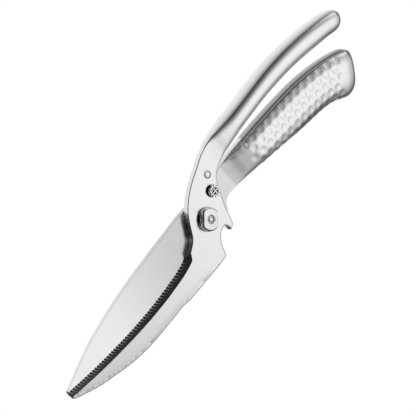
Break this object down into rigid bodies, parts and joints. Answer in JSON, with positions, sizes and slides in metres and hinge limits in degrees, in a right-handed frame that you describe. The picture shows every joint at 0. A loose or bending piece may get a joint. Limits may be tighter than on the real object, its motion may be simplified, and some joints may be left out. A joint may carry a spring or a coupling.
{
  "type": "poultry shears",
  "caption": "All-steel poultry shears with a thin curved handle, a hammered handle, a serrated blade and a sliding lock.",
  "frame": {"origin": "the centre of the pivot rivet's flat front end, on the pivot axis, 8.3 mm in front of the plane where the two plates face each other", "axes": "+Z along the pivot axis out of the front plate, blades towards -X, handles towards +X, the thin upper handle on +Y"},
  "size_m": [0.2708, 0.0532, 0.016],
  "materials": {
    "blade_steel": "fine satin ground stainless steel",
    "grip_steel": "smooth polished stainless steel",
    "hammered_steel": "satin stainless steel with round hammered dimples",
    "pivot_steel": "turned and polished steel",
    "lock_steel": "knurled bright steel",
    "spring_steel": "drawn spring wire and strip",
    "inner_steel": "plain stamped and turned steel, hidden inside"
  },
  "bodies": {
    "front_lever": {"front_blade": "blade_steel", "upper_grip_shell": "grip_steel", "upper_grip_liner": "grip_steel", "upper_tang_spacer": "inner_steel", "stop_post": "inner_steel", "catch_rivet": "pivot_steel", "lock_wave_washer": "spring_steel"},
    "rear_lever": {"rear_blade": "blade_steel", "lower_grip_shell": "hammered_steel", "lower_grip_liner": "grip_steel", "lower_tang_spacer": "inner_steel", "pivot_stud": "pivot_steel", "pivot_head": "pivot_steel", "pivot_rivet": "pivot_steel", "pivot_washer_front": "inner_steel", "pivot_washer_rear": "inner_steel", "torsion_spring": "spring_steel"},
    "catch": {"lock_catch": "inner_steel", "lock_knob": "lock_steel", "lock_knob_screw": "lock_steel", "lock_nose_pin": "inner_steel"}
  },
  "joints": [
    {"name": "blade_pivot", "type": "hinge", "parent": "front_lever", "child": "rear_lever", "pos_m": [0, 0, -0.0083], "axis": [0, 0, -1], "range_deg": [0, 40]},
    {"name": "lock_catch_swing", "type": "hinge", "parent": "front_lever", "child": "catch", "pos_m": [0.0177, 0.0167, -0.0083], "axis": [0, 0, -1], "range_deg": [0, 16]}
  ]
}
